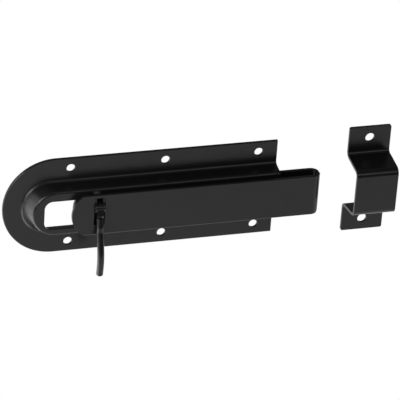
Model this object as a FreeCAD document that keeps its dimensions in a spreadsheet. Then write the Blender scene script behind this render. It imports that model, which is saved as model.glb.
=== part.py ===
import FreeCAD, Part
import math
import os
import Sketcher

# Sliding bolt of pressed and folded steel, shown nearly drawn back, with its keeper.
# X runs along the bolt towards the keeper, Y runs into the door, and Z is up.
# The back of the plate lies in the plane Y = 0. The origin is the middle of its screw holes.

doc = FreeCAD.newDocument("SlidingBolt")

# Driving dimensions, in millimetres
dimensions = [
    ("plate_length", 203),
    ("plate_height", 76),
    ("plate_sheet", 2),
    ("plate_right", 84),
    ("plate_hole", 6.4),
    ("hole_pitch_along", 70),
    ("hole_pitch_across", 60),
    ("channel_depth", 13.5),
    ("channel_side_ramp", 2.3),
    ("channel_end_land", 12.5),
    ("channel_end_ramp", 7.5),
    ("channel_foot_bend", 2.6),
    ("channel_face_bend", 2.1),
    ("window_height", 23),
    ("window_corner", 6),
    ("window_drop", 1.3),
    ("window_land", 8),
    ("window_spare", 4),
    ("strip_width", 32),
    ("strip_sheet", 2.5),
    ("leaf_gap", 8),
    ("bolt_setback", 7),
    ("nose_reach", 30),
    ("nose_top_corner", 1.5),
    ("nose_bottom_corner", 4),
    ("front_leaf_length", 186.4),
    ("back_leaf_step", 3.6),
    ("leaf_end_radius", 19),
    ("throw", 70),
    ("slide_clearance", 0.25),
    ("slot_clearance", 0.2),
    ("slot_top", 13.5),
    ("slot_bottom", 8),
    ("grip_place", 20.1),
    ("slot_corner", 0.5),
    ("fork_width", 7.4),
    ("fork_sheet", 1.4),
    ("fork_height", 7.2),
    ("pivot_inset", 0.4),
    ("pivot_rise", 6),
    ("pin_diameter", 2.8),
    ("pin_clearance", 0.05),
    ("eye_diameter", 6.8),
    ("eye_clearance", 0.15),
    ("tang_width", 6.4),
    ("tang_taper", 2.6),
    ("tang_tip", 2.2),
    ("rod_diameter", 5.1),
    ("rod_top", 8.7),
    ("rod_shoulder", 0.8),
    ("rod_set_back", 1),
    ("rod_bend", 6),
    ("rod_upper_run", 5.2),
    ("rod_middle_run", 2.6),
    ("rod_lower_run", 9.6),
    ("rod_end_run", 6.4),
    ("rod_out", 3.5),
    ("rod_in", 12),
    ("rod_end_in", 24),
    ("handle_bow", 35),
    ("rest_clearance", 0.25),
    ("rest_set_back", 0.72),
    ("keeper_gap", 55),
    ("keeper_width", 32),
    ("keeper_height", 86),
    ("keeper_sheet", 2),
    ("keeper_depth", 25.5),
    ("keeper_base_opening", 39),
    ("keeper_face_opening", 33),
    ("keeper_bend", 3),
    ("keeper_corner", 1.5),
    ("keeper_hole", 7),
    ("keeper_hole_pitch", 68),
    ("edge_break", 0.4),
]

dims = doc.addObject("Spreadsheet::Sheet", "Dims")
for row, (alias, value) in enumerate(dimensions, start=1):
    dims.set("A%d" % row, alias)
    dims.set("B%d" % row, str(value))
    dims.setAlias("B%d" % row, alias)
doc.recompute()

# Sizes that follow from the driving ones, as formulas of the sheet
names = [alias for alias, value in dimensions]
derived = {}


def derive(name, text):
    """Adds a worked-out size. A name in braces stands for a driving or an earlier derived size."""
    derived[name] = "(" + formula(text) + ")"


def formula(text):
    """Turns a text with names in braces into an expression of the document."""
    for alias in names:
        text = text.replace("{" + alias + "}", "Dims." + alias)
    for name, expression in derived.items():
        text = text.replace("{" + name + "}", expression)
    return text


def number(text):
    """The value of a formula, for the first place of geometry that constraints then hold."""
    return float(dims.evalExpression(formula(text)))


# Plate and channel
derive("plate_left", "{plate_right} - {plate_length}")
derive("half_plate", "{plate_height} / 2")
derive("base_left", "{plate_left} + {channel_end_land}")
derive("face_left", "{base_left} + {channel_end_ramp}")
derive("half_strip", "{strip_width} / 2")
derive("inner_depth", "{channel_depth} - {plate_sheet}")
derive("side_lean", "{channel_side_ramp} / {channel_depth}")
derive("end_lean", "{channel_end_ramp} / {channel_depth}")
derive("side_wall", "{plate_sheet} * sqrt(1 + {side_lean} * {side_lean})")
derive("guide_depth", "{bolt_setback} + {strip_sheet}")
derive("guide_half", "{half_strip} + {slide_clearance}")
derive("base_half", "{guide_half} + {side_lean} * {guide_depth} + {side_wall}")
derive("face_half", "{base_half} - {channel_side_ramp}")
derive("end_wall", "{plate_sheet} * sqrt(1 + {end_lean} * {end_lean})")
derive("inner_base_half", "{base_half} - {side_wall}")
derive("inner_face_half", "{base_half} - {side_lean} * {inner_depth} - {side_wall}")
derive("inner_base_left", "{base_left} + {end_wall}")
derive("inner_face_left", "{base_left} + {end_lean} * {inner_depth} + {end_wall}")

# Bolt, from its folded nose back to the two leaf ends
derive("fold_outer", "{leaf_gap} / 2 + {strip_sheet}")
derive("fold_inner", "{leaf_gap} / 2")
derive("back_face", "-{bolt_setback}")
derive("front_face", "-{bolt_setback} - 2 * {fold_outer}")
derive("fold_middle", "-{bolt_setback} - {fold_outer}")
derive("nose", "{plate_right} + {nose_reach}")
derive("fold_centre", "{nose} - {fold_outer}")
derive("front_end", "{nose} - {front_leaf_length}")
derive("back_end", "{front_end} + {back_leaf_step}")
derive("end_bulge", "{leaf_end_radius} - sqrt({leaf_end_radius}^2 - {half_strip}^2)")

# Fork, pin and handle
derive("grip", "{front_end} + {grip_place}")
derive("half_fork", "{fork_width} / 2")
derive("half_slot", "{half_fork} + {slot_clearance}")
derive("fork_root", "{back_face} - {strip_sheet}")
derive("pivot_y", "{front_face} + {pivot_inset}")
derive("fork_gap", "{fork_width} - 2 * {fork_sheet}")
derive("prong_back", "{front_face} + 2 * {strip_sheet}")
derive("prong_top", "{slot_top} - {slot_corner}")
derive("window_left", "{face_left} + {window_land}")
derive("window_right", "{grip} + {throw} + {half_fork} + {window_spare}")
derive("stop_drop", "{slot_bottom} + {pivot_rise}")
derive("stop_reach", "sqrt({stop_drop}^2 + {pivot_inset}^2)")
derive("rest_offset", "{rod_diameter} / 2 + {rest_clearance} + {rest_set_back}")
derive("handle_tilt", "asin({rest_offset} / {stop_reach}) + atan({pivot_inset} / {stop_drop})")

# Keeper
derive("keeper_left", "{plate_right} + {keeper_gap}")
derive("keeper_middle", "{keeper_left} + {keeper_width} / 2")
derive("half_keeper", "{keeper_height} / 2")
derive("keeper_inner_depth", "{keeper_depth} - {keeper_sheet}")
derive("keeper_base_half", "{keeper_base_opening} / 2")
derive("keeper_face_half", "{keeper_face_opening} / 2")
derive("keeper_lean", "({keeper_base_half} - {keeper_face_half}) / {keeper_inner_depth}")
derive("keeper_wall", "{keeper_sheet} * sqrt(1 + {keeper_lean} * {keeper_lean})")
derive("keeper_outer_base", "{keeper_base_half} - {keeper_lean} * {keeper_sheet} + {keeper_wall}")
derive("keeper_outer_face", "{keeper_base_half} - {keeper_lean} * {keeper_depth} + {keeper_wall}")


def new_body(label):
    body = doc.addObject("PartDesign::Body", label)
    body.Label = label
    return body


def new_sketch(body, name, role, lift="0"):
    """A sketch on one of the body's own origin planes, lifted along that plane's normal."""
    sketch = body.newObject("Sketcher::SketchObject", name)
    plane = [item for item in body.Origin.OriginFeatures if item.Role == role][0]
    sketch.AttachmentSupport = [(plane, "")]
    sketch.MapMode = "FlatFace"
    sketch.setExpression("AttachmentOffset.Base.z", formula(lift))
    return sketch


def hold(sketch, kind, geometry, point, text):
    """Adds a constraint and binds it to a formula."""
    value = number(text)
    if kind in ("DistanceX", "DistanceY"):
        index = sketch.addConstraint(Sketcher.Constraint(kind, -1, 1, geometry, point, value))
    else:
        index = sketch.addConstraint(Sketcher.Constraint(kind, geometry, value))
    sketch.setExpression("Constraints[%d]" % index, formula(text))


def add_outline(sketch, corners):
    """A closed outline. A corner is (x, y) or (x, y, radius, side): the side that leaves it is then
    an arc that bulges to the right (1) or to the left (-1) of the way it runs. With "half" as its
    radius it is half a circle across an upright gap."""
    places = [FreeCAD.Vector(number(corner[0]), number(corner[1]), 0) for corner in corners]
    first = sketch.GeometryCount
    count = len(corners)
    for i, corner in enumerate(corners):
        start = places[i]
        end = places[(i + 1) % count]
        if len(corner) == 2:
            sketch.addGeometry(Part.LineSegment(start, end), False)
            continue
        chord = end - start
        half = chord.Length / 2
        radius = half if corner[2] == "half" else number(corner[2])
        bulge = radius - math.sqrt(max(radius ** 2 - half ** 2, 0))
        right = FreeCAD.Vector(chord.y, -chord.x, 0).normalize()
        middle = (start + end) * 0.5 + right * bulge * corner[3]
        sketch.addGeometry(Part.Arc(start, middle, end), False)
    for i in range(count):
        ends = []
        for geometry in (first + (i - 1) % count, first + i):
            gaps = [(sketch.getPoint(geometry, p) - places[i]).Length for p in (1, 2)]
            ends.append((geometry, 1 + gaps.index(min(gaps))))
        (before, before_point), (after, after_point) = ends
        sketch.addConstraint(Sketcher.Constraint("Coincident", before, before_point, after, after_point))
        hold(sketch, "DistanceX", after, after_point, corners[i][0])
        hold(sketch, "DistanceY", after, after_point, corners[i][1])
        if len(corners[i]) == 2:
            continue
        if corners[i][2] == "half":
            hold(sketch, "DistanceX", first + i, 3, corners[i][0])
        else:
            hold(sketch, "Radius", first + i, 0, corners[i][2])


def add_rounded_box(sketch, left, right, bottom, top, radius):
    """A rectangle with four equal round corners."""
    add_outline(sketch, [
        (left + " + " + radius, bottom),
        (right + " - " + radius, bottom, radius, 1),
        (right, bottom + " + " + radius),
        (right, top + " - " + radius, radius, 1),
        (right + " - " + radius, top),
        (left + " + " + radius, top, radius, 1),
        (left, top + " - " + radius),
        (left, bottom + " + " + radius, radius, 1),
    ])


def add_circle(sketch, x, y, diameter):
    centre = FreeCAD.Vector(number(x), number(y), 0)
    circle = Part.Circle(centre, FreeCAD.Vector(0, 0, 1), number(diameter) / 2)
    index = sketch.addGeometry(circle, False)
    hold(sketch, "DistanceX", index, 3, x)
    hold(sketch, "DistanceY", index, 3, y)
    hold(sketch, "Diameter", index, 0, diameter)


def add_bent_path(sketch, x, y, runs):
    """The middle line of a bent rod from (x, y) down. A run is (length, lean from straight down in
    degrees, radius of the bend that follows it)."""
    place = FreeCAD.Vector(number(x), number(y), 0)
    before = None
    for i, (length, lean, radius) in enumerate(runs):
        angle = math.radians(number(lean))
        heading = FreeCAD.Vector(-math.sin(angle), -math.cos(angle), 0)
        finish = place + heading * number(length)
        line = sketch.addGeometry(Part.LineSegment(place, finish), False)
        if before is None:
            hold(sketch, "DistanceX", line, 1, x)
            hold(sketch, "DistanceY", line, 1, y)
        else:
            sketch.addConstraint(Sketcher.Constraint("Tangent", before, 2 if turn_left else 1, line, 1))
        hold(sketch, "Distance", line, 0, length)
        steer = sketch.addConstraint(Sketcher.Constraint("Angle", line, -math.pi / 2 - angle))
        sketch.setExpression("Constraints[%d]" % steer, "-90 - (" + formula(lean) + ")")
        if radius is None:
            return
        bend = number(radius)
        next_angle = math.radians(number(runs[i + 1][1]))
        turn_left = next_angle < angle
        side = 1 if turn_left else -1
        centre = finish + FreeCAD.Vector(-heading.y, heading.x, 0) * bend * side
        leave = FreeCAD.Vector(-math.sin(next_angle), -math.cos(next_angle), 0)
        place = centre - FreeCAD.Vector(-leave.y, leave.x, 0) * bend * side
        out = (finish + place) * 0.5 - centre
        middle = centre + out.normalize() * bend
        before = sketch.addGeometry(Part.Arc(finish, middle, place), False)
        sketch.addConstraint(Sketcher.Constraint("Tangent", line, 2, before, 1 if turn_left else 2))
        hold(sketch, "Radius", before, 0, radius)


def pad(body, sketch, length, both_ways=False):
    feature = body.newObject("PartDesign::Pad", sketch.Name + "Pad")
    feature.Profile = sketch
    feature.setExpression("Length", formula(length))
    feature.Midplane = both_ways
    doc.recompute()
    return feature


def cut(body, sketch, length=None, forward=False):
    """Cuts right through both ways, or for a length against or along the sketch's normal."""
    before = body.Shape.Volume
    feature = body.newObject("PartDesign::Pocket", sketch.Name + "Cut")
    feature.Profile = sketch
    if length is None:
        feature.Type = "ThroughAll"
        feature.Midplane = True
    else:
        feature.setExpression("Length", formula(length))
        feature.Reversed = forward
    doc.recompute()
    if not feature.Shape.Volume < before:
        raise RuntimeError(feature.Name + " cuts nothing")
    return feature


def loft(body, kind, sections, name):
    feature = body.newObject("PartDesign::" + kind, name)
    feature.Profile = sections[0]
    feature.Sections = sections[1:]
    feature.Ruled = True
    doc.recompute()
    return feature


def round_edges(body, name, radius, chosen):
    """Fillets the edges of the body's tip for which chosen(edge) is true."""
    base = body.Tip
    edges = ["Edge%d" % (i + 1) for i, edge in enumerate(base.Shape.Edges) if chosen(edge)]
    feature = body.newObject("PartDesign::Fillet", name)
    feature.Base = (base, edges)
    feature.setExpression("Radius", formula(radius))
    doc.recompute()
    return feature


def break_edges(body, name, size, chosen):
    """Chamfers the edges of the body's tip for which chosen(edge) is true."""
    base = body.Tip
    edges = ["Edge%d" % (i + 1) for i, edge in enumerate(base.Shape.Edges) if chosen(edge)]
    feature = body.newObject("PartDesign::Chamfer", name)
    feature.Base = (base, edges)
    feature.setExpression("Size", formula(size))
    doc.recompute()
    return feature


# Two places that are less than this apart, in millimetres, count as one
TOUCH = 0.01


def lies_at(edge, axis, value):
    """Whether the whole edge lies in the plane where the axis (0, 1 or 2) has the value."""
    box = edge.BoundBox
    low = (box.XMin, box.YMin, box.ZMin)[axis]
    high = (box.XMax, box.YMax, box.ZMax)[axis]
    return abs(low - value) < TOUCH and abs(high - value) < TOUCH


def add_channel_section(sketch, left, half, right):
    """The channel seen from the front: a round left end and two straight sides."""
    start = left + " + " + half
    add_outline(sketch, [
        (start, half, "half", 1),
        (start, "-" + half),
        (right, "-" + half),
        (right, half),
    ])


def make_back_plate():
    body = new_body("back_plate")
    outline = new_sketch(body, "PlateOutline", "XZ_Plane")
    add_channel_section(outline, "{plate_left}", "{half_plate}", "{plate_right}")
    pad(body, outline, "{plate_sheet}")

    base = new_sketch(body, "ChannelBase", "XZ_Plane")
    add_channel_section(base, "{base_left}", "{base_half}", "{plate_right}")
    face = new_sketch(body, "ChannelFace", "XZ_Plane", "{channel_depth}")
    add_channel_section(face, "{face_left}", "{face_half}", "{plate_right}")
    loft(body, "AdditiveLoft", [base, face], "ChannelForm")

    face_y = -number("{channel_depth}")
    land_y = -number("{plate_sheet}")
    right = number("{plate_right}")
    half_plate = number("{half_plate}")

    def on_channel(edge):
        inside = max(abs(edge.BoundBox.ZMin), abs(edge.BoundBox.ZMax)) < half_plate - TOUCH
        return inside and not lies_at(edge, 0, right)

    round_edges(body, "FaceBend", "{channel_face_bend}",
                lambda edge: lies_at(edge, 1, face_y) and on_channel(edge))
    round_edges(body, "FootBend", "{channel_foot_bend}",
                lambda edge: lies_at(edge, 1, land_y) and on_channel(edge))

    past_right = "{plate_right} + {plate_sheet}"
    inner_base = new_sketch(body, "HollowBase", "XZ_Plane")
    add_channel_section(inner_base, "{inner_base_left}", "{inner_base_half}", past_right)
    inner_face = new_sketch(body, "HollowFace", "XZ_Plane", "{inner_depth}")
    add_channel_section(inner_face, "{inner_face_left}", "{inner_face_half}", past_right)
    loft(body, "SubtractiveLoft", [inner_base, inner_face], "ChannelHollow")

    window = new_sketch(body, "Window", "XZ_Plane")
    half_window = "{window_height} / 2"
    add_rounded_box(window, "{window_left}", "{window_right}", "-{window_drop} - " + half_window,
                    half_window + " - {window_drop}", "{window_corner}")
    cut(body, window)

    holes = new_sketch(body, "ScrewHoles", "XZ_Plane")
    for row in ("{hole_pitch_across} / 2", "-{hole_pitch_across} / 2"):
        add_circle(holes, "-{hole_pitch_along}", row, "{plate_hole}")
    first_column = cut(body, holes)
    columns = body.newObject("PartDesign::LinearPattern", "HoleColumns")
    columns.Originals = [first_column]
    columns.Direction = (holes, ["H_Axis"])
    columns.setExpression("Length", formula("2 * {hole_pitch_along}"))
    columns.Occurrences = 3
    body.Tip = columns
    doc.recompute()

    def on_front_rim(edge):
        return lies_at(edge, 1, land_y) and edge.BoundBox.DiagonalLength > half_plate

    break_edges(body, "RimBreak", "{edge_break}", on_front_rim)
    return body


def make_bolt():
    body = new_body("bolt")
    profile = new_sketch(body, "StripFold", "XY_Plane")
    add_outline(profile, [
        ("{back_end}", "{back_face}"),
        ("{back_end}", "{back_face} - {strip_sheet}"),
        ("{fold_centre}", "{back_face} - {strip_sheet}", "half", -1),
        ("{fold_centre}", "{front_face} + {strip_sheet}"),
        ("{front_end}", "{front_face} + {strip_sheet}"),
        ("{front_end}", "{front_face}"),
        ("{fold_centre}", "{front_face}", "half", 1),
        ("{fold_centre}", "{back_face}"),
    ])
    pad(body, profile, "{strip_width}", both_ways=True)
    sheet = number("{strip_sheet}")
    break_edges(body, "StripEdges", "{edge_break}",
                lambda edge: edge.BoundBox.ZLength < TOUCH and edge.BoundBox.XLength > sheet)

    reach = "{fold_outer} + {strip_sheet}"
    for name, end, forward in (("FrontLeafEnd", "{front_end}", True),
                               ("BackLeafEnd", "{back_end}", False)):
        leaf_end = new_sketch(body, name, "XZ_Plane", "-({fold_middle})")
        root = end + " + {end_bulge}"
        outside = "{half_strip} + {strip_sheet}"
        add_outline(leaf_end, [
            (end + " - {strip_sheet}", outside),
            (end + " - {strip_sheet}", "-(" + outside + ")"),
            (root, "-(" + outside + ")"),
            (root, "-{half_strip}", "{leaf_end_radius}", -1),
            (root, "{half_strip}"),
            (root, outside),
        ])
        cut(body, leaf_end, reach, forward)

    corners = new_sketch(body, "NoseCorners", "XZ_Plane")
    outside = "({half_strip} + {strip_sheet})"
    for sign, size, side in (("", "{nose_top_corner}", -1), ("-", "{nose_bottom_corner}", 1)):
        add_outline(corners, [
            ("{nose} - " + size, sign + "{half_strip}", size, side),
            ("{nose}", sign + "({half_strip} - " + size + ")"),
            ("{nose} + {strip_sheet}", sign + "({half_strip} - " + size + ")"),
            ("{nose} + {strip_sheet}", sign + outside),
            ("{nose} - " + size, sign + outside),
        ])
    cut(body, corners)

    slot = new_sketch(body, "GripSlot", "XZ_Plane", "-({fold_middle})")
    add_rounded_box(slot, "{grip} - {half_slot}", "{grip} + {half_slot}", "-{slot_bottom}",
                    "{slot_top}", "{slot_corner}")
    cut(body, slot, reach, True)

    return body


def make_fork():
    """The forked post that ties the two leaves together through the window and carries the pin."""
    body = new_body("handle_fork")
    side = new_sketch(body, "ForkSide", "YZ_Plane", "{grip}")
    half_height = "{fork_height} / 2"
    add_outline(side, [
        ("{fork_root}", "{pivot_rise} + " + half_height),
        ("{prong_back}", "{pivot_rise} + " + half_height),
        ("{prong_back}", "{prong_top}"),
        ("{pivot_y}", "{prong_top}"),
        ("{pivot_y}", "{pivot_rise} + " + half_height, "half", 1),
        ("{pivot_y}", "{pivot_rise} - " + half_height),
        ("{fork_root}", "{pivot_rise} - " + half_height),
    ])
    pad(body, side, "{fork_width}", both_ways=True)

    gap = new_sketch(body, "ForkGap", "XY_Plane", "{pivot_rise}")
    root = "{fork_root} - {fork_sheet} - {fork_gap} / 2"
    end = "{pivot_y} - {fork_height}"
    add_outline(gap, [
        ("{grip} - {fork_gap} / 2", end),
        ("{grip} + {fork_gap} / 2", end),
        ("{grip} + {fork_gap} / 2", root),
        ("{grip}", "{fork_root} - {fork_sheet}"),
        ("{grip} - {fork_gap} / 2", root),
    ])
    cut(body, gap)

    bore = new_sketch(body, "PinBore", "YZ_Plane", "{grip}")
    add_circle(bore, "{pivot_y}", "{pivot_rise}", "{pin_diameter} + 2 * {pin_clearance}")
    cut(body, bore)
    return body


def make_pin():
    body = new_body("handle_pin")
    section = new_sketch(body, "PinSection", "YZ_Plane", "{grip}")
    add_circle(section, "{pivot_y}", "{pivot_rise}", "{pin_diameter}")
    pad(body, section, "{fork_width}", both_ways=True)
    break_edges(body, "PinEnds", "{edge_break}", lambda edge: edge.Curve.TypeId == "Part::GeomCircle")
    return body


def make_handle():
    """The drop handle, made hanging straight down from its pivot, then leant out by the angle at
    which its rod rests on the lower end of the slot."""
    body = new_body("handle")
    eye_sheet = "{fork_gap} - 2 * {eye_clearance}"
    eye = new_sketch(body, "Eye", "YZ_Plane")
    add_circle(eye, "0", "0", "{eye_diameter}")
    pad(body, eye, eye_sheet, both_ways=True)
    tang = new_sketch(body, "Tang", "YZ_Plane")
    add_outline(tang, [
        ("-{tang_width} / 2", "0"),
        ("-{tang_width} / 2", "{tang_taper} - {rod_top}"),
        ("{rod_set_back} - {tang_tip} / 2", "-{rod_top}"),
        ("{rod_set_back} + {tang_tip} / 2", "-{rod_top}"),
        ("{tang_width} / 2", "{tang_taper} - {rod_top}"),
        ("{tang_width} / 2", "0"),
    ])
    pad(body, tang, eye_sheet, both_ways=True)

    path = new_sketch(body, "RodPath", "YZ_Plane")
    runs = [
        ("{rod_upper_run}", "{rod_out}", "{rod_bend}"),
        ("{rod_middle_run}", "-{rod_in}", "{rod_bend}"),
        ("{rod_lower_run}", "{rod_out}", "{handle_bow}"),
        ("{rod_end_run}", "-{rod_end_in}", None),
    ]
    add_bent_path(path, "{rod_set_back}", "-{rod_top}", runs)

    section = new_sketch(body, "RodSection", "XY_Plane", "-{rod_top}")
    add_circle(section, "0", "{rod_set_back}", "{rod_diameter}")
    rod = body.newObject("PartDesign::AdditivePipe", "Rod")
    rod.Profile = section
    rod.Spine = (path, ["Edge%d" % (i + 1) for i in range(path.GeometryCount)])
    doc.recompute()

    shoulder = body.newObject("PartDesign::AdditiveCone", "Shoulder")
    shoulder.AttachmentSupport = section.AttachmentSupport
    shoulder.MapMode = "FlatFace"
    shoulder.setExpression("AttachmentOffset.Base.y", formula("{rod_set_back}"))
    shoulder.setExpression("AttachmentOffset.Base.z", formula("-{rod_top}"))
    shoulder.setExpression("Radius1", formula("{rod_diameter} / 2"))
    shoulder.setExpression("Radius2", formula("{rod_diameter} / 2 - {rod_shoulder}"))
    shoulder.setExpression("Height", formula("{rod_shoulder}"))
    doc.recompute()

    end = path.getPoint(path.GeometryCount - 1, 2)
    tip = FreeCAD.Vector(0, end.x, end.y)
    break_edges(body, "TipBreak", "{rod_shoulder}",
                lambda edge: (edge.CenterOfMass - tip).Length < TOUCH)

    bore = new_sketch(body, "EyeBore", "YZ_Plane")
    add_circle(bore, "0", "0", "{pin_diameter} + 2 * {pin_clearance}")
    cut(body, bore)
    body.Placement = FreeCAD.Placement(FreeCAD.Vector(0, 0, 0),
                                       FreeCAD.Rotation(FreeCAD.Vector(-1, 0, 0), 1))
    body.setExpression("Placement.Base.x", formula("{grip}"))
    body.setExpression("Placement.Base.y", formula("{pivot_y}"))
    body.setExpression("Placement.Base.z", formula("{pivot_rise}"))
    body.setExpression("Placement.Rotation.Angle", formula("{handle_tilt}"))
    doc.recompute()
    return body


def make_keeper():
    """The keeper, a strip bent like a hat, that stands apart on the frame and takes the nose."""
    body = new_body("keeper")
    profile = new_sketch(body, "HatProfile", "YZ_Plane", "{keeper_middle}")
    upper = [
        ("0", "{half_keeper}"),
        ("-{keeper_sheet}", "{half_keeper}"),
        ("-{keeper_sheet}", "{keeper_outer_base}"),
        ("-{keeper_depth}", "{keeper_outer_face}"),
    ]
    inner = [
        ("0", "-({keeper_base_half})"),
        ("-({keeper_inner_depth})", "-({keeper_face_half})"),
        ("-({keeper_inner_depth})", "{keeper_face_half}"),
        ("0", "{keeper_base_half}"),
    ]
    lower = [(y, "-(" + z + ")") for y, z in reversed(upper)]
    add_outline(profile, upper + lower + inner)
    pad(body, profile, "{keeper_width}", both_ways=True)

    def bend_at(y, z):
        def chosen(edge):
            box = edge.BoundBox
            same_place = abs(box.YMin - y) < TOUCH and abs(abs(box.ZMin) - z) < TOUCH
            return same_place and box.YLength < TOUCH and box.ZLength < TOUCH
        return chosen

    outer_bend = "{keeper_bend} + {keeper_sheet}"
    for name, radius, y, z in (
        ("OuterFaceBend", outer_bend, "-{keeper_depth}", "{keeper_outer_face}"),
        ("InnerFaceBend", "{keeper_bend}", "-{keeper_inner_depth}", "{keeper_face_half}"),
        ("OuterFootBend", "{keeper_bend}", "-{keeper_sheet}", "{keeper_outer_base}"),
        ("InnerFootBend", outer_bend, "0", "{keeper_base_half}"),
    ):
        round_edges(body, name, radius, bend_at(number(y), number(z)))

    end = number("{half_keeper}")

    def at_corner(edge):
        box = edge.BoundBox
        return abs(abs(box.ZMin) - end) < TOUCH and box.ZLength < TOUCH and box.XLength < TOUCH

    round_edges(body, "FlangeCorners", "{keeper_corner}", at_corner)

    holes = new_sketch(body, "KeeperHoles", "XZ_Plane")
    for row in ("{keeper_hole_pitch} / 2", "-{keeper_hole_pitch} / 2"):
        add_circle(holes, "{keeper_middle}", row, "{keeper_hole}")
    cut(body, holes)
    return body


bodies = [make_back_plate(), make_bolt(), make_fork(), make_pin(), make_handle(), make_keeper()]

for item in doc.Objects:
    if "Invalid" in item.State or "Error" in item.State:
        raise RuntimeError(item.Name + " did not compute: " + item.getStatusString())
for body in bodies:
    if body.Shape.isNull() or not body.Shape.isValid() or len(body.Shape.Solids) != 1:
        raise RuntimeError(body.Label + " is not one sound solid")

os.makedirs("parts", exist_ok=True)
for body in bodies:
    body.Shape.exportStep("parts/" + body.Label + ".step")
    box = body.Shape.BoundBox
    print("%-12s %9.1f mm3  X %7.1f %7.1f  Y %6.1f %6.1f  Z %6.1f %6.1f" % (
        body.Label, body.Shape.Volume, box.XMin, box.XMax, box.YMin, box.YMax, box.ZMin, box.ZMax))
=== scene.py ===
# %% [markdown]
# A sliding bolt of pressed and folded steel, coated black, with its keeper.
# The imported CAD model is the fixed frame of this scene. Its six solids already have the true
# shapes, and new meshes over them would add nothing. So this lesson is about how a black coat is
# made to look like one: what it mirrors, how its edges catch the light, and how fine its skin is.

# %% Load the frame
import math

import bpy
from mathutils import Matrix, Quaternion, Vector

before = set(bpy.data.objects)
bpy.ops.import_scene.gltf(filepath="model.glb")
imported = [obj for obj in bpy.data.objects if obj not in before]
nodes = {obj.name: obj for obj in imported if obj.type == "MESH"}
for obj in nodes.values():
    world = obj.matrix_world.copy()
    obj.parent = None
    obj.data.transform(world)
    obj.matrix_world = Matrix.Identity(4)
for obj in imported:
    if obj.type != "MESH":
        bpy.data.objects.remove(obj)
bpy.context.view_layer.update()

print("nodes:", sorted(nodes))

# %% [markdown]
# The camera stands to the left of the bolt and above it, as in the photograph. A long lens from
# about two metres keeps the plate's long edges nearly parallel. Its place was found by matching
# the plate's outline, its six holes and the keeper. It could be written as a place and three
# turns. An aim point, two angles, a distance and a small roll say the same in the numbers that a
# photographer would set.

# %% Camera
CAMERA_AIM = Vector((0.02863, 0.0, -0.00712))
CAMERA_DISTANCE = 2.179
CAMERA_LEFT = math.radians(18.31)
CAMERA_ABOVE = math.radians(29.50)
CAMERA_ROLL = math.radians(4.06)
LENS_MM = 270.1
SENSOR_MM = 36

bpy.ops.object.select_all(action="DESELECT")
to_camera = Vector((
    -math.sin(CAMERA_LEFT) * math.cos(CAMERA_ABOVE),
    -math.cos(CAMERA_LEFT) * math.cos(CAMERA_ABOVE),
    math.sin(CAMERA_ABOVE),
))
bpy.ops.object.camera_add(location=CAMERA_AIM + to_camera * CAMERA_DISTANCE)
camera = bpy.context.object
camera.name = "camera"
camera.data.lens = LENS_MM
camera.data.sensor_width = SENSOR_MM
level = (-to_camera).to_track_quat("-Z", "Y")
camera.rotation_euler = (level @ Quaternion((0, 0, 1), CAMERA_ROLL)).to_euler()
bpy.context.scene.camera = camera
print("camera at", [round(v, 4) for v in camera.location])

# %% [markdown]
# The floor is a plain white sheet well below the bolt, which hangs free above it. The photograph
# shows the bolt on pure white without a shadow, so the camera sees the sheet as plain white. A
# backdrop that curves up behind the bolt could give the same ground, but the keeper's upper face
# would mirror it in grey patches, and in the photograph that face is nearly black.

# %% Floor
FLOOR_BELOW = 0.25
FLOOR_SIZE = 12.0

bpy.ops.object.select_all(action="DESELECT")
bpy.ops.mesh.primitive_plane_add(size=FLOOR_SIZE, location=(0, 0, -FLOOR_BELOW))
floor = bpy.context.object
floor.name = "floor"
print("floor", FLOOR_BELOW, "m below the bolt")

# %% [markdown]
# A black coat shows little colour of its own: nearly all that is seen in it is what it mirrors.
# Brighter lamps could make the paper white, but they would light the bolt as well. So it glows
# instead, to mirrored rays as well as to the camera's, and the upright faces, which mirror it,
# turn dark grey. In a mirror the sheet fades out towards the front, as paper does where the lamps
# no longer reach it, so its glow is measured from a place behind the bolt. To all other rays it
# is white paper in the lamps' light, with the bolt's shadow on it.

# %% Floor paper
PAPER_COLOUR = (0.8, 0.8, 0.8, 1)
WHITE = (1, 1, 1, 1)
GLOW_MIDDLE = (0.0, 1.0, 0.0)
GLOW_NEAR = 1.6
GLOW_FAR = 2.0
GLOW_LEFT_FAR = 0.05

floor_paper = bpy.data.materials.new("floor_paper")
floor_paper.use_nodes = True
floor_paper.node_tree.nodes.clear()
add = floor_paper.node_tree.nodes.new
link = floor_paper.node_tree.links.new


def larger_of(first, second):
    """The output of a node that keeps the larger of two values."""
    node = add("ShaderNodeMath")
    node.operation = "MAXIMUM"
    link(first, node.inputs[0])
    link(second, node.inputs[1])
    return node.outputs["Value"]


rays = add("ShaderNodeLightPath").outputs
seen = larger_of(rays["Is Camera Ray"], rays["Is Transmission Ray"])
seen_or_mirrored = larger_of(seen, rays["Is Glossy Ray"])

distance = add("ShaderNodeVectorMath")
distance.operation = "DISTANCE"
distance.inputs[1].default_value = GLOW_MIDDLE
link(add("ShaderNodeTexCoord").outputs["Object"], distance.inputs[0])
fade = add("ShaderNodeMapRange")
fade.interpolation_type = "SMOOTHSTEP"
for socket, value in (
    ("From Min", GLOW_NEAR),
    ("From Max", GLOW_FAR),
    ("To Min", 1.0),
    ("To Max", GLOW_LEFT_FAR),
):
    fade.inputs[socket].default_value = value
link(distance.outputs["Value"], fade.inputs["Value"])

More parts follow.
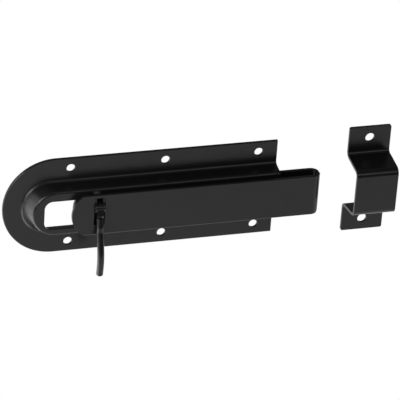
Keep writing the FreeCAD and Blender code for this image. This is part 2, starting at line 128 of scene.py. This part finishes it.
paper = add("ShaderNodeBsdfDiffuse")
paper.inputs["Color"].default_value = PAPER_COLOUR
glow = add("ShaderNodeEmission")
glow.inputs["Color"].default_value = WHITE
link(larger_of(seen, fade.outputs["Result"]), glow.inputs["Strength"])
mix = add("ShaderNodeMixShader")
link(seen_or_mirrored, mix.inputs["Fac"])
link(paper.outputs["BSDF"], mix.inputs[1])
link(glow.outputs["Emission"], mix.inputs[2])
link(mix.outputs["Shader"], add("ShaderNodeOutputMaterial").inputs["Surface"])
floor.data.materials.append(floor_paper)
print("white in mirrors up to", GLOW_NEAR, "m from", GLOW_MIDDLE)

# %% [markdown]
# The light is that of a small studio with a dark ceiling. Two large soft lamps would do for a
# pale thing. A black one shows a lamp only where a face or a bend mirrors it, so each lamp here
# stands where one of those has to turn light. Each line gives a lamp's name and place, then its
# width, height and brightness. The channel's end ramp mirrors what stands at its left, so four
# lamps stand there one above the other: the under lamp, the low wall and the left wall, both
# about as high as the bolt, and a dimmer high wall, which lets the ramp fade towards its top.
# The strip and the upper left lamp light the rim and the lower foot bend. The near lamp, a hand's
# width from the channel, draws the light lines along the upper foot bend and the face bend. It is
# so near that the handle, which hangs further down, mirrors what lies below it. The last lamp,
# above the front, draws the soft lines along the straight upper bends. Nothing bright hangs behind
# the bolt, so the faces that look up stay black.

# %% Lamps
def soft_lamp(name, place, width, height, radiance):
    """An oblong lamp that looks at the middle of the plate. Its power follows from its size and
    from how bright its face is to be, with the white floor at one."""
    bpy.ops.object.select_all(action="DESELECT")
    bpy.ops.object.light_add(type="AREA", location=place)
    lamp = bpy.context.object
    lamp.name = name
    lamp.data.shape = "RECTANGLE"
    lamp.data.size = width
    lamp.data.size_y = height
    lamp.data.energy = math.pi * width * height * radiance
    lamp.visible_camera = False
    lamp.rotation_euler = (CAMERA_AIM - Vector(place)).to_track_quat("-Z", "Y").to_euler()
    print(name, "at", place, "gives", round(lamp.data.energy, 3), "W")


soft_lamp("left_wall_lamp", (-0.55, 0.04, 0.06), 0.27, 0.12, 2.8)
soft_lamp("under_left_lamp", (-0.19, 0.02, -0.19), 0.26, 0.24, 2.6)
soft_lamp("left_strip_lamp", (-0.58, -0.20, 0.05), 0.06, 0.60, 3.2)
soft_lamp("upper_left_lamp", (-0.66, -0.40, 0.34), 0.30, 0.34, 2.6)
soft_lamp("near_left_lamp", (-0.158, -0.085, 0.046), 0.10, 0.07, 3.2)
soft_lamp("low_wall_lamp", (-0.20, 0.012, -0.025), 0.05, 0.06, 2.8)
soft_lamp("high_wall_lamp", (-0.55, 0.04, 0.22), 0.27, 0.20, 1.6)
soft_lamp("top_front_lamp", (0.405, -0.94, 0.60), 0.60, 0.28, 1.8)

# %% [markdown]
# The rest of the studio is a dim grey. It could be black, but this little light keeps the darkest
# reflections from going dead. The Standard view shows the white floor as white, where Blender's
# usual view would turn it light grey.

# %% Sky and view
WORLD_LEVEL = 0.12

world = bpy.data.worlds.new("dim_studio")
world.use_nodes = True
sky = world.node_tree.nodes["Background"]
sky.inputs["Color"].default_value = WHITE
sky.inputs["Strength"].default_value = WORLD_LEVEL
bpy.context.scene.world = world
bpy.context.scene.view_settings.view_transform = "Standard"
print("world at", WORLD_LEVEL, "of the floor's white")

# %% [markdown]
# The stoved coat has a fine orange peel, which only shows where it breaks up a reflection, and it
# is a little glossier in some places than in others. Light catches on its softened edges, and the
# edges are painted a little lighter: partly a touch of wear, partly a painted highlight. A Bevel
# modifier could soften the edges, but the solids are the fixed frame and their meshes stay as they
# are, so a Bevel node softens only the shading. The peel is far too fine for a mesh, so it is a
# bump. One node group puts out all three: the normal of peel and edges, the clouds of gloss and
# the mask of the edges. Lengths are in metres, and a scale is in waves a metre.

# %% Coat effects
PEEL_SCALE = 1100.0
PEEL_DEPTH = 0.07
PEEL_STEP = 0.001
PEEL_DETAIL = 2
CLOUD_SCALE = 60.0
CLOUD_DETAIL = 3
EDGE_WIDTH = 0.0004
EDGE_SAMPLES = 4
FULL_EDGE = 0.85

effects = bpy.data.node_groups.new("coat_effects", "ShaderNodeTree")
for name, value in (
    ("Peel Scale", PEEL_SCALE),
    ("Peel Depth", PEEL_DEPTH),
    ("Cloud Scale", CLOUD_SCALE),
    ("Edge Width", EDGE_WIDTH),
):
    socket = effects.interface.new_socket(name, in_out="INPUT", socket_type="NodeSocketFloat")
    socket.default_value = value
for name, kind in (("Normal", "Vector"), ("Cloud", "Float"), ("Edge", "Float")):
    effects.interface.new_socket(name, in_out="OUTPUT", socket_type="NodeSocket" + kind)
add = effects.nodes.new
link = effects.links.new
enter = add("NodeGroupInput").outputs
leave = add("NodeGroupOutput").inputs
place = add("ShaderNodeTexCoord").outputs["Object"]


def noise(detail, scale):
    """The output of a noise over the piece's own coordinates."""
    texture = add("ShaderNodeTexNoise")
    texture.inputs["Detail"].default_value = detail
    link(place, texture.inputs["Vector"])
    link(scale, texture.inputs["Scale"])
    return texture.outputs["Fac"]


rounded = add("ShaderNodeBevel")
rounded.samples = EDGE_SAMPLES
link(enter["Edge Width"], rounded.inputs["Radius"])
peel = add("ShaderNodeBump")
peel.inputs["Distance"].default_value = PEEL_STEP
link(enter["Peel Depth"], peel.inputs["Strength"])
link(noise(PEEL_DETAIL, enter["Peel Scale"]), peel.inputs["Height"])
link(rounded.outputs["Normal"], peel.inputs["Normal"])
link(peel.outputs["Normal"], leave["Normal"])
link(noise(CLOUD_DETAIL, enter["Cloud Scale"]), leave["Cloud"])
print("coat effects:", len(effects.nodes), "nodes so far")

# %% [markdown]
# The Pointiness of the Geometry node could find the edges, but it is worked out at the corners of
# a mesh, and a flat face of the solids has those only at its rim. So an edge is found by how far
# the softened normal turns away from the true one. The cosine of that turn is one on a flat face,
# where the mask is empty, and the mask fills as it falls.

# %% Edge mask
turned = add("ShaderNodeVectorMath")
turned.operation = "DOT_PRODUCT"
link(rounded.outputs["Normal"], turned.inputs[0])
link(add("ShaderNodeNewGeometry").outputs["Normal"], turned.inputs[1])
mask = add("ShaderNodeMapRange")
mask.inputs["From Min"].default_value = 1.0
mask.inputs["From Max"].default_value = FULL_EDGE
link(turned.outputs["Value"], mask.inputs["Value"])
link(mask.outputs["Result"], leave["Edge"])
print("coat effects:", len(effects.nodes), "nodes")

# %% [markdown]
# The coat itself is nearly black and satin. The shader's Coat layer could lay a clear lacquer over
# it, with a second reflection, but a stoved coat is one skin, so the plain reflection is enough.
# The coat mirrors a little less than glass does. The clouds set how rough it is, and the edge mask
# makes it slightly lighter: a touch of wear and a painted highlight along the edges.

# %% Black coat
COAT_COLOUR = (0.010, 0.010, 0.0106, 1)
# Edge colour: partly real wear, partly a painted highlight along the edges.
WEAR_AND_SHEEN_COLOUR = (0.03, 0.03, 0.032, 1)
COAT_IOR = 1.5
COAT_SPECULAR = 0.35
CLOUD_RANGE = (0.3, 0.7)
ROUGHNESS_RANGE = (0.20, 0.26)

coat = bpy.data.materials.new("black_coat")
coat.use_nodes = True
add = coat.node_tree.nodes.new
link = coat.node_tree.links.new
shader = coat.node_tree.nodes["Principled BSDF"].inputs
shader["Metallic"].default_value = 0.0
shader["IOR"].default_value = COAT_IOR
shader["Specular IOR Level"].default_value = COAT_SPECULAR
skin = add("ShaderNodeGroup")
skin.node_tree = effects
# The edge mask lightens the edges, which paints a highlight along them as well as a touch of wear.
tint = add("ShaderNodeMix")
tint.data_type = "RGBA"
tint.inputs["A"].default_value = COAT_COLOUR
tint.inputs["B"].default_value = WEAR_AND_SHEEN_COLOUR
link(skin.outputs["Edge"], tint.inputs["Factor"])
link(tint.outputs["Result"], shader["Base Color"])
gloss = add("ShaderNodeMapRange")
gloss.inputs["From Min"].default_value, gloss.inputs["From Max"].default_value = CLOUD_RANGE
gloss.inputs["To Min"].default_value, gloss.inputs["To Max"].default_value = ROUGHNESS_RANGE
link(skin.outputs["Cloud"], gloss.inputs["Value"])
link(gloss.outputs["Result"], shader["Roughness"])
link(skin.outputs["Normal"], shader["Normal"])
print("roughness from", ROUGHNESS_RANGE[0], "to", ROUGHNESS_RANGE[1])

# %% [markdown]
# All six pieces are dipped in the same bath, so they share the one material, and a change to it
# is made only once. Six materials could give each piece a pattern of its own, but that isn't
# needed. The pattern fills all of space, and the pieces lie in different places there, so no two
# show the same patch of it.

# %% Coat the pieces
for piece in nodes.values():
    piece.data.materials.clear()
    piece.data.materials.append(coat)
print("coated:", len(nodes), "pieces")
